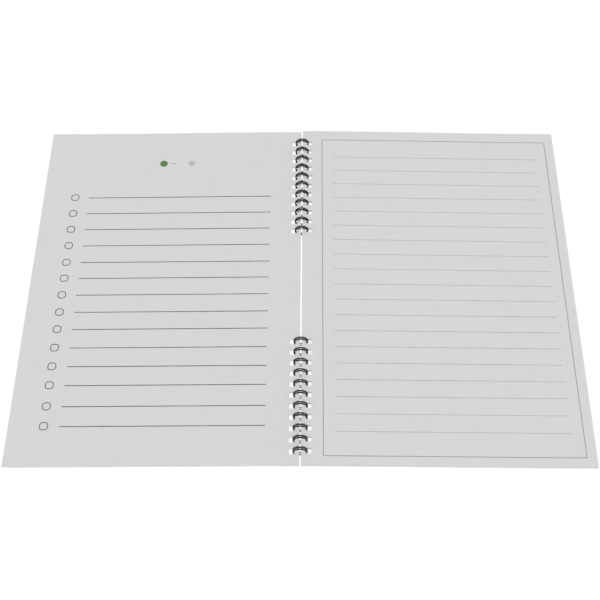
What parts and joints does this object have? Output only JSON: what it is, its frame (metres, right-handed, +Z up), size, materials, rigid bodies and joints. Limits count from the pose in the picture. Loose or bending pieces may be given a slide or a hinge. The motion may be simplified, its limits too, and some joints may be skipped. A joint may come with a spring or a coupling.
{
  "type": "spiral notebook",
  "caption": "A5 notebook lying open, ruled leaves between card covers, bound with black twin-loop wire in two lengths.",
  "frame": {"origin": "on the table under the middle of the binding, between the two stacks", "axes": "+X across the open notebook towards the leaves still to be turned, +Y up the pages, +Z up from the table"},
  "size_m": [0.2968, 0.21, 0.0078],
  "materials": {
    "card": "matte",
    "leaves": "matte",
    "wire": "satin"
  },
  "bodies": {
    "back": {"back_cover": "card", "upper_wire": "wire", "lower_wire": "wire"},
    "front": {"front_cover": "card"},
    "left_leaves": {"left_pages": "leaves"},
    "right_leaves": {"right_pages": "leaves"}
  },
  "joints": [
    {"name": "front_cover_turn", "type": "hinge", "parent": "back", "child": "front", "pos_m": [0, 0, 0.0039], "axis": [0, 1, 0], "range_deg": [0, 180]},
    {"name": "left_leaves_turn", "type": "hinge", "parent": "front", "child": "left_leaves", "pos_m": [0, 0, 0.0039], "axis": [0, 1, 0], "range_deg": [0, 180]},
    {"name": "right_leaves_turn", "type": "hinge", "parent": "back", "child": "right_leaves", "pos_m": [0, 0, 0.0039], "axis": [0, 1, 0], "range_deg": [-180, 0]}
  ]
}
